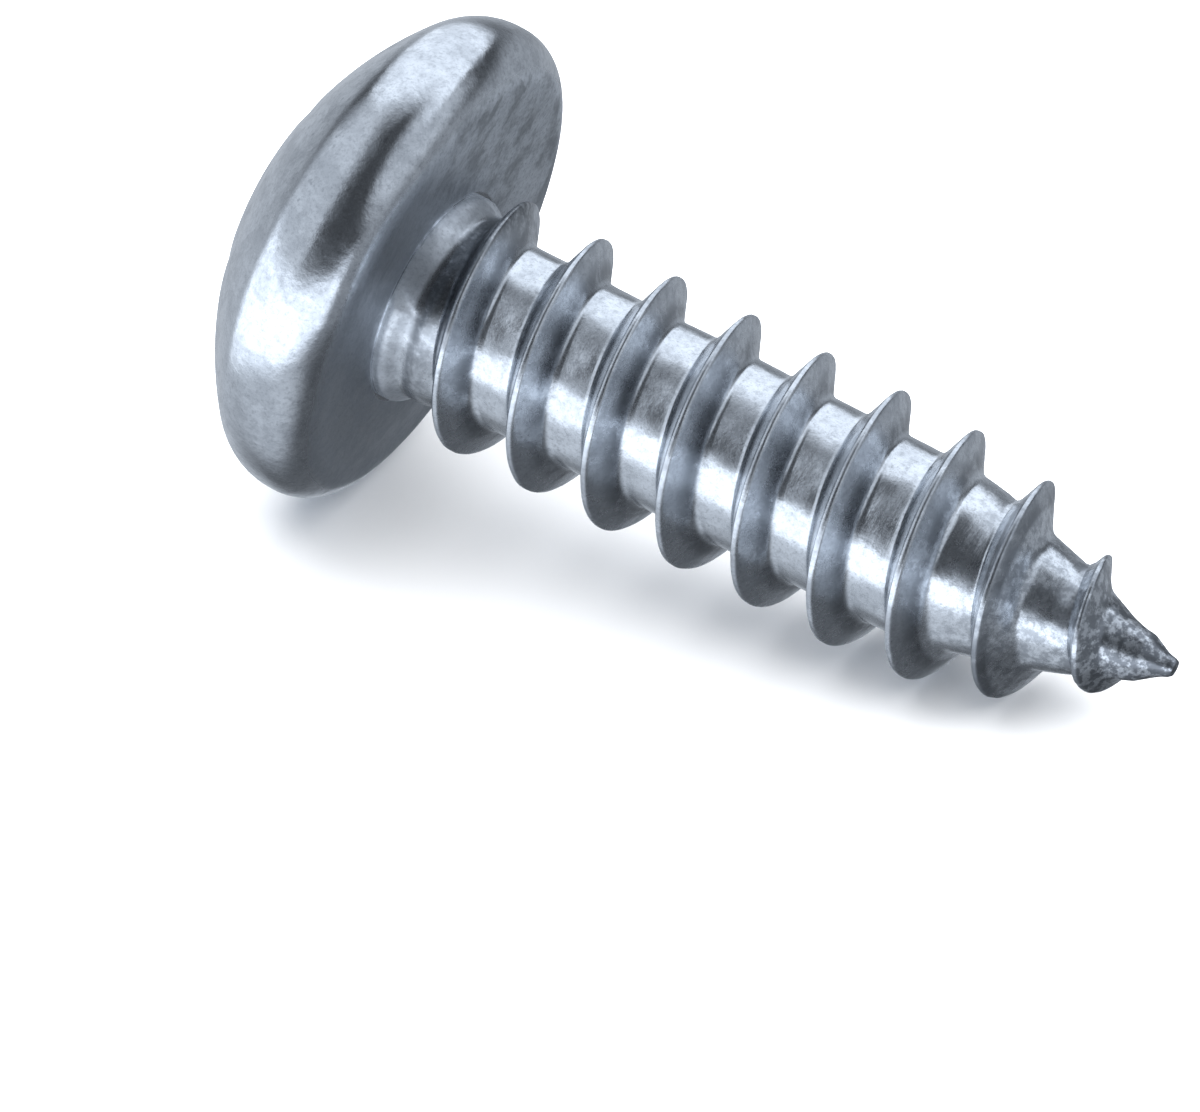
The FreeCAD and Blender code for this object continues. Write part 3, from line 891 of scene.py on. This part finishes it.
let_go()
bpy.ops.mesh.primitive_plane_add(size=FLOOR_SIZE, location=(0, 0, 0))
floor = bpy.context.object
floor.name = "floor"
pale = bpy.data.materials.new("pale_floor")
pale.use_nodes = True
pale_shader = pale.node_tree.nodes["Principled BSDF"]
pale_shader.inputs["Base Color"].default_value = FLOOR_COLOUR
pale_shader.inputs["Roughness"].default_value = FLOOR_ROUGHNESS
floor.data.materials.append(pale)
floor.visible_glossy = False
print("floor:", FLOOR_SIZE, "m across")

# %% [markdown]
# ## The room round the screw
# A bright metal shows its surroundings, so the room is modelled as carefully as the screw. Soft boxes
# could stand round it as lamps, but a lamp is always a whole disc or rectangle. Here the room is painted
# into the world instead, where a lit place can have another outline. Every lit place is bounded by circles:
# a narrow circle makes a round glow, and one of 90 degrees is half of the room, so several of them can
# leave a band or a corner. A place is written in degrees, and was found by asking which way the metal
# mirrors its light and dark patches.

# %% Room
TINT = (0.925, 1, 1.1)
DARK = (0.07, 0.0755, 0.0835, 1)
# Brightness, then the circles that bound the place: azimuth, height, opening and softness
LIT_PLACES = (
    # A faint glow from below, and the broad low glow in front
    (0.135, (0, -90, 42, 12)),
    (0.64, (-110, -35, 48, 25), (-85, 0, 90, 15)),
    # Low glows behind the screw and beyond its point, cut off from below
    (0.56, (150, -38, 40, 16), (0, 90, 146, 14)),
    (0.42, (78, -27, 32, 14), (0, 90, 128, 6)),
    (0.34, (12, -22, 34, 14), (0, 90, 128, 6)),
    # Pale places beyond the point and high up behind
    (0.66, (14, 33, 31, 12)),
    (0.42, (130, 64, 18, 9)),
    # A grey wall towards the head, a broad bright place behind, and a bright band low in front
    (0.72, (-151, 34, 43, 12), (163, 0, 90, 3)),
    (1.2, (-152, 54, 90, 3.5), (40, 33, 90, 3), (58, 5, 90, 5), (100, -18, 90, 8)),
    (1.7, (-115, -74, 90, 6), (0, 90, 115, 7), (-103, 0, 80, 8)),
)


def compass(azimuth, height):
    """The direction at an azimuth and a height in degrees."""
    azimuth, height = math.radians(azimuth), math.radians(height)
    return (math.cos(height) * math.cos(azimuth), math.cos(height) * math.sin(azimuth), math.sin(height))


def window(tree, way, room, level, *circles):
    """Lights all that lies inside every one of the circles."""
    mask = 1.0
    for azimuth, height, opening, softness in circles:
        outer, inner = (math.cos(math.radians(opening + side * softness)) for side in (1, -1))
        inside = between(tree, facing(tree, way, compass(azimuth, height)), outer, inner)
        mask = maths(tree, "MULTIPLY", mask, inside)
    return blended(tree, mask, room, [level * tint for tint in TINT])


world = bpy.data.worlds.new("room")
bpy.context.scene.world = world
world.use_nodes = True
# The lit places are broad, so the renderer needs no map of where they are
world.cycles.sampling_method = "NONE"
sky = world.node_tree
way = wired(sky, "ShaderNodeTexCoord").outputs["Generated"]
room = wired(sky, "ShaderNodeRGB").outputs["Color"]
room.default_value = DARK
for level, *circles in LIT_PLACES:
    room = window(sky, way, room, level, *circles)
sky.links.new(room, sky.nodes["Background"].inputs["Color"])
print("lit places in the room:", len(LIT_PLACES))

# %% [markdown]
# ## The soft box over the floor
# The floor needs its own light, to stay nearly white with a soft shadow under the screw. One big soft box
# hangs close above, a little behind, so the shadow falls forward. It is hidden from glossy rays, so what
# the metal mirrors is set by the room alone.

# %% Soft box
BOX_WAY = Vector((0.1, 0.35, 1)).normalized()
BOX_DISTANCE, BOX_SIZE, BOX_POWER = 0.35, 0.9, 8.5
SCREW_MIDDLE = Vector((0, 0, 0.003))

box_light = bpy.data.lights.new("overhead", "AREA")
box_light.shape = "RECTANGLE"
box_light.size = box_light.size_y = BOX_SIZE
box_light.energy = BOX_POWER
overhead = bpy.data.objects.new("overhead", box_light)
bpy.context.scene.collection.objects.link(overhead)
overhead.location = SCREW_MIDDLE + BOX_WAY * BOX_DISTANCE
overhead.rotation_mode = "QUATERNION"
overhead.rotation_quaternion = BOX_WAY.to_track_quat("Z", "Y")
overhead.visible_glossy = False
bpy.context.scene.view_settings.view_transform = "Standard"
print("soft box:", BOX_SIZE, "m wide,", BOX_DISTANCE, "m away")
